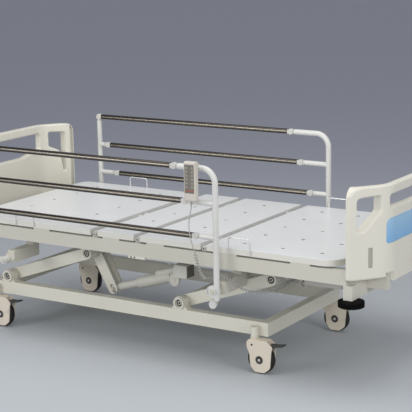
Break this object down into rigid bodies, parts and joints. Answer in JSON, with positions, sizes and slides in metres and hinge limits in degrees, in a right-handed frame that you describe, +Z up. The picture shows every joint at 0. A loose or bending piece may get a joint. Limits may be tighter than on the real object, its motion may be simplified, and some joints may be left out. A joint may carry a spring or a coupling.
{
  "type": "intensive care bed",
  "caption": "Height-adjustable hospital bed with jointed steel deck, parallelogram lift, folding side rails, end boards, braked castors, bumper discs and a corded handset.",
  "frame": {"origin": "On the floor, midway between the outer faces of the two end boards and on the bed centre line.", "axes": "+X towards the foot end, +Y towards the far side, +Z up."},
  "size_m": [2.3, 1.0797, 0.93],
  "materials": {
    "cream_moulding": "satin",
    "tyre": "matte",
    "dark_plastic": "satin",
    "black_rubber": "matte",
    "ivory_paint": "semi-gloss",
    "white_paint": "semi-gloss",
    "dark_steel": "satin",
    "bright_steel": "polished",
    "ivory_moulding": "satin",
    "blue_laminate": "satin",
    "grey_plastic": "satin",
    "cord_grey": "satin",
    "light_plastic": "satin"
  },
  "bodies": {
    "base": {"base_frame": "ivory_paint", "lift_bearing_blocks": "ivory_paint"},
    "head_arms": {"head_lift_arms": "ivory_paint"},
    "foot_arms": {"foot_lift_arms": "ivory_paint"},
    "upper_frame": {"upper_frame": "ivory_paint", "side_rail_brackets": "ivory_paint", "seat_section": "white_paint", "deck_hinge_pins": "dark_steel", "control_box": "dark_plastic", "handset_curly_cord": "cord_grey"},
    "back": {"back_section": "white_paint", "back_retainers": "bright_steel"},
    "thigh": {"thigh_section": "white_paint", "knee_hinge_pins": "dark_steel"},
    "leg": {"leg_section": "white_paint", "leg_retainers": "bright_steel"},
    "headboard": {"headboard": "ivory_moulding"},
    "footboard": {"footboard": "ivory_moulding", "footboard_inlay": "blue_laminate"},
    "castor_head_near": {"castor_housing_head_near": "cream_moulding"},
    "wheel_head_near": {"castor_wheel_head_near": "tyre"},
    "pedal_head_near": {"castor_pedal_head_near": "dark_plastic"},
    "bumper_head_near": {"corner_bumper_head_near": "black_rubber"},
    "castor_head_far": {"castor_housing_head_far": "cream_moulding"},
    "wheel_head_far": {"castor_wheel_head_far": "tyre"},
    "pedal_head_far": {"castor_pedal_head_far": "dark_plastic"},
    "bumper_head_far": {"corner_bumper_head_far": "black_rubber"},
    "castor_foot_near": {"castor_housing_foot_near": "cream_moulding"},
    "wheel_foot_near": {"castor_wheel_foot_near": "tyre"},
    "pedal_foot_near": {"castor_pedal_foot_near": "dark_plastic"},
    "bumper_foot_near": {"corner_bumper_foot_near": "black_rubber"},
    "castor_foot_far": {"castor_housing_foot_far": "cream_moulding"},
    "wheel_foot_far": {"castor_wheel_foot_far": "tyre"},
    "pedal_foot_far": {"castor_pedal_foot_far": "dark_plastic"},
    "bumper_foot_far": {"corner_bumper_foot_far": "black_rubber"},
    "rail_near_foot_post": {"rail_near_foot_post": "white_paint", "handset_body": "grey_plastic", "handset_keypad": "dark_plastic", "handset_lead": "cord_grey"},
    "rail_near_head_post": {"rail_near_head_post": "white_paint"},
    "rail_near_top_bar": {"rail_near_top_bar": "bright_steel"},
    "rail_near_middle_bar": {"rail_near_middle_bar": "bright_steel"},
    "rail_near_lower_bar": {"rail_near_lower_bar": "bright_steel"},
    "rail_near_release_knob": {"rail_near_release_knob": "white_paint"},
    "rail_far_foot_post": {"rail_far_foot_post": "white_paint"},
    "rail_far_head_post": {"rail_far_head_post": "white_paint"},
    "rail_far_top_bar": {"rail_far_top_bar": "bright_steel"},
    "rail_far_middle_bar": {"rail_far_middle_bar": "bright_steel"},
    "rail_far_lower_bar": {"rail_far_lower_bar": "bright_steel"},
    "rail_far_release_knob": {"rail_far_release_knob": "white_paint"},
    "head_lift_actuator_housing": {"head_lift_actuator_housing": "light_plastic"},
    "head_lift_actuator_rod": {"head_lift_actuator_rod": "light_plastic"},
    "foot_lift_actuator_housing": {"foot_lift_actuator_housing": "light_plastic"},
    "foot_lift_actuator_rod": {"foot_lift_actuator_rod": "light_plastic"},
    "backrest_actuator_housing": {"backrest_actuator_housing": "light_plastic"},
    "backrest_actuator_rod": {"backrest_actuator_rod": "light_plastic"},
    "knee_actuator_housing": {"knee_actuator_housing": "light_plastic"},
    "knee_actuator_rod": {"knee_actuator_rod": "light_plastic"}
  },
  "joints": [
    {"name": "head_arm_lift", "type": "hinge", "parent": "base", "child": "head_arms", "pos_m": [-0.8335, 0, 0.245], "axis": [0, -1, 0], "range_deg": [-4, 33]},
    {"name": "frame_level", "type": "hinge", "parent": "head_arms", "child": "upper_frame", "pos_m": [-0.39357, 0, 0.39562], "axis": [0, -1, 0], "range_deg": [-33.5, 4.5]},
    {"name": "foot_arm_follow", "type": "hinge", "parent": "upper_frame", "child": "foot_arms", "pos_m": [0.58543, 0, 0.39562], "axis": [0, -1, 0], "range_deg": [-4.5, 33.5]},
    {"name": "castor_head_near_swivel", "type": "hinge", "parent": "base", "child": "castor_head_near", "pos_m": [-0.892, -0.35, 0.16], "axis": [0, 0, 1], "continuous": true},
    {"name": "wheel_head_near_roll", "type": "hinge", "parent": "castor_head_near", "child": "wheel_head_near", "pos_m": [-0.858, -0.35, 0.0625], "axis": [0, 1, 0], "continuous": true},
    {"name": "pedal_head_near_brake", "type": "hinge", "parent": "castor_head_near", "child": "pedal_head_near", "pos_m": [-0.808, -0.35, 0.1245], "axis": [0, 1, 0], "range_deg": [0, 12]},
    {"name": "bumper_head_near_spin", "type": "hinge", "parent": "upper_frame", "child": "bumper_head_near", "pos_m": [-1.034, -0.425, 0.39], "axis": [0, 0, 1], "continuous": true},
    {"name": "castor_head_far_swivel", "type": "hinge", "parent": "base", "child": "castor_head_far", "pos_m": [-0.892, 0.35, 0.16], "axis": [0, 0, 1], "continuous": true},
    {"name": "wheel_head_far_roll", "type": "hinge", "parent": "castor_head_far", "child": "wheel_head_far", "pos_m": [-0.858, 0.35, 0.0625], "axis": [0, 1, 0], "continuous": true},
    {"name": "pedal_head_far_brake", "type": "hinge", "parent": "castor_head_far", "child": "pedal_head_far", "pos_m": [-0.808, 0.35, 0.1245], "axis": [0, 1, 0], "range_deg": [0, 12]},
    {"name": "bumper_head_far_spin", "type": "hinge", "parent": "upper_frame", "child": "bumper_head_far", "pos_m": [-1.034, 0.425, 0.39], "axis": [0, 0, 1], "continuous": true},
    {"name": "castor_foot_near_swivel", "type": "hinge", "parent": "base", "child": "castor_foot_near", "pos_m": [0.54, -0.35, 0.16], "axis": [0, 0, 1], "continuous": true},
    {"name": "wheel_foot_near_roll", "type": "hinge", "parent": "castor_foot_near", "child": "wheel_foot_near", "pos_m": [0.574, -0.35, 0.0625], "axis": [0, 1, 0], "continuous": true},
    {"name": "pedal_foot_near_brake", "type": "hinge", "parent": "castor_foot_near", "child": "pedal_foot_near", "pos_m": [0.624, -0.35, 0.1245], "axis": [0, 1, 0], "range_deg": [0, 12]},
    {"name": "bumper_foot_near_spin", "type": "hinge", "parent": "upper_frame", "child": "bumper_foot_near", "pos_m": [1.034, -0.425, 0.39], "axis": [0, 0, 1], "continuous": true},
    {"name": "castor_foot_far_swivel", "type": "hinge", "parent": "base", "child": "castor_foot_far", "pos_m": [0.54, 0.35, 0.16], "axis": [0, 0, 1], "continuous": true},
    {"name": "wheel_foot_far_roll", "type": "hinge", "parent": "castor_foot_far", "child": "wheel_foot_far", "pos_m": [0.574, 0.35, 0.0625], "axis": [0, 1, 0], "continuous": true},
    {"name": "pedal_foot_far_brake", "type": "hinge", "parent": "castor_foot_far", "child": "pedal_foot_far", "pos_m": [0.624, 0.35, 0.1245], "axis": [0, 1, 0], "range_deg": [0, 12]},
    {"name": "bumper_foot_far_spin", "type": "hinge", "parent": "upper_frame", "child": "bumper_foot_far", "pos_m": [1.034, 0.425, 0.39], "axis": [0, 0, 1], "continuous": true},
    {"name": "backrest", "type": "hinge", "parent": "upper_frame", "child": "back", "pos_m": [-0.224, 0, 0.54], "axis": [0, 1, 0], "range_deg": [0, 65]},
    {"name": "thigh_lift", "type": "hinge", "parent": "upper_frame", "child": "thigh", "pos_m": [0.007, 0, 0.54], "axis": [0, -1, 0], "range_deg": [0, 35]},
    {"name": "leg_follow", "type": "hinge", "parent": "thigh", "child": "leg", "pos_m": [0.351, 0, 0.54], "axis": [0, -1, 0], "range_deg": [-53.5, 0]},
    {"name": "headboard_lift_off", "type": "slide", "parent": "upper_frame", "child": "headboard", "axis": [0, 0, 1], "range_m": [0, 0.12]},
    {"name": "footboard_lift_off", "type": "slide", "parent": "upper_frame", "child": "footboard", "axis": [0, 0, 1], "range_m": [0, 0.12]},
    {"name": "rail_near_fold", "type": "hinge", "parent": "upper_frame", "child": "rail_near_foot_post", "pos_m": [0.434, -0.504, 0.379], "axis": [0, 1, 0], "range_deg": [0, 90]},
    {"name": "rail_near_head_follow", "type": "hinge", "parent": "upper_frame", "child": "rail_near_head_post", "pos_m": [-0.701, -0.504, 0.379], "axis": [0, 1, 0], "range_deg": [-0.5, 90.5]},
    {"name": "rail_near_top_bar_level", "type": "hinge", "parent": "rail_near_foot_post", "child": "rail_near_top_bar", "pos_m": [0.2495, -0.504, 0.898], "axis": [0, 1, 0], "range_deg": [-90.5, 0.5]},
    {"name": "rail_near_middle_bar_level", "type": "hinge", "parent": "rail_near_foot_post", "child": "rail_near_middle_bar", "pos_m": [0.302, -0.504, 0.7535], "axis": [0, 1, 0], "range_deg": [-90.5, 0.5]},
    {"name": "rail_near_lower_bar_level", "type": "hinge", "parent": "rail_near_foot_post", "child": "rail_near_lower_bar", "pos_m": [0.3545, -0.504, 0.609], "axis": [0, 1, 0], "range_deg": [-90.5, 0.5]},
    {"name": "rail_near_release", "type": "slide", "parent": "upper_frame", "child": "rail_near_release_knob", "axis": [0, -1, 0], "range_m": [0, 0.012], "stiffness_N_per_m": 400},
    {"name": "rail_far_fold", "type": "hinge", "parent": "upper_frame", "child": "rail_far_foot_post", "pos_m": [0.434, 0.504, 0.379], "axis": [0, 1, 0], "range_deg": [0, 90]},
    {"name": "rail_far_head_follow", "type": "hinge", "parent": "upper_frame", "child": "rail_far_head_post", "pos_m": [-0.701, 0.504, 0.379], "axis": [0, 1, 0], "range_deg": [-0.5, 90.5]},
    {"name": "rail_far_top_bar_level", "type": "hinge", "parent": "rail_far_foot_post", "child": "rail_far_top_bar", "pos_m": [0.2495, 0.504, 0.898], "axis": [0, 1, 0], "range_deg": [-90.5, 0.5]},
    {"name": "rail_far_middle_bar_level", "type": "hinge", "parent": "rail_far_foot_post", "child": "rail_far_middle_bar", "pos_m": [0.302, 0.504, 0.7535], "axis": [0, 1, 0], "range_deg": [-90.5, 0.5]},
    {"name": "rail_far_lower_bar_level", "type": "hinge", "parent": "rail_far_foot_post", "child": "rail_far_lower_bar", "pos_m": [0.3545, 0.504, 0.609], "axis": [0, 1, 0], "range_deg": [-90.5, 0.5]},
    {"name": "rail_far_release", "type": "slide", "parent": "upper_frame", "child": "rail_far_release_knob", "axis": [0, 1, 0], "range_m": [0, 0.012], "stiffness_N_per_m": 400},
    {"name": "head_lift_actuator_tilt", "type": "hinge", "parent": "upper_frame", "child": "head_lift_actuator_housing", "pos_m": [0.075, -0.19, 0.335], "axis": [0, -1, 0], "range_deg": [-10.59, 1.55]},
    {"name": "head_lift_actuator_stroke", "type": "slide", "parent": "head_lift_actuator_housing", "child": "head_lift_actuator_rod", "axis": [-0.9596, 0, -0.2815], "range_m": [-0.09246, 0.01165]},
    {"name": "foot_lift_actuator_tilt", "type": "hinge", "parent": "upper_frame", "child": "foot_lift_actuator_housing", "pos_m": [0.14, 0.19, 0.335], "axis": [0, -1, 0], "range_deg": [-1.41, 0.43]},
    {"name": "foot_lift_actuator_stroke", "type": "slide", "parent": "foot_lift_actuator_housing", "child": "foot_lift_actuator_rod", "axis": [0.9816, 0, -0.1909], "range_m": [-0.0112, 0.08881]},
    {"name": "backrest_actuator_tilt", "type": "hinge", "parent": "upper_frame", "child": "backrest_actuator_housing", "pos_m": [0.06, -0.06, 0.446], "axis": [0, -1, 0], "range_deg": [-13.89, 0.3]},
    {"name": "backrest_actuator_stroke", "type": "slide", "parent": "backrest_actuator_housing", "child": "backrest_actuator_rod", "axis": [-0.9964, 0, -0.0852], "range_m": [-0.0005, 0.10127]},
    {"name": "knee_actuator_tilt", "type": "hinge", "parent": "upper_frame", "child": "knee_actuator_housing", "pos_m": [-0.38, 0.06, 0.446], "axis": [0, -1, 0], "range_deg": [-0.3, 1.19]},
    {"name": "knee_actuator_stroke", "type": "slide", "parent": "knee_actuator_housing", "child": "knee_actuator_rod", "axis": [0.9992, 0, -0.0389], "range_m": [-0.0005, 0.06718]}
  ],
  "couplings": [
    {"joint": "frame_level", "follows": "head_arm_lift", "ratio": -1},
    {"joint": "foot_arm_follow", "follows": "head_arm_lift", "ratio": 1},
    {"joint": "leg_follow", "follows": "thigh_lift", "ratio": -1.515},
    {"joint": "rail_near_head_follow", "follows": "rail_near_fold", "ratio": 1},
    {"joint": "rail_near_top_bar_level", "follows": "rail_near_fold", "ratio": -1},
    {"joint": "rail_near_middle_bar_level", "follows": "rail_near_fold", "ratio": -1},
    {"joint": "rail_near_lower_bar_level", "follows": "rail_near_fold", "ratio": -1},
    {"joint": "rail_far_head_follow", "follows": "rail_far_fold", "ratio": 1},
    {"joint": "rail_far_top_bar_level", "follows": "rail_far_fold", "ratio": -1},
    {"joint": "rail_far_middle_bar_level", "follows": "rail_far_fold", "ratio": -1},
    {"joint": "rail_far_lower_bar_level", "follows": "rail_far_fold", "ratio": -1},
    {"joint": "head_lift_actuator_tilt", "follows": "head_arm_lift", "ratio": -0.3117},
    {"joint": "head_lift_actuator_stroke", "follows": "head_arm_lift", "m_per_rad": -0.15967},
    {"joint": "foot_lift_actuator_tilt", "follows": "head_arm_lift", "ratio": -0.0337},
    {"joint": "foot_lift_actuator_stroke", "follows": "head_arm_lift", "m_per_rad": 0.15333},
    {"joint": "backrest_actuator_tilt", "follows": "backrest", "ratio": -0.2091},
    {"joint": "backrest_actuator_stroke", "follows": "backrest", "m_per_rad": 0.08883},
    {"joint": "knee_actuator_tilt", "follows": "thigh_lift", "ratio": 0.0255},
    {"joint": "knee_actuator_stroke", "follows": "thigh_lift", "m_per_rad": 0.10915}
  ]
}
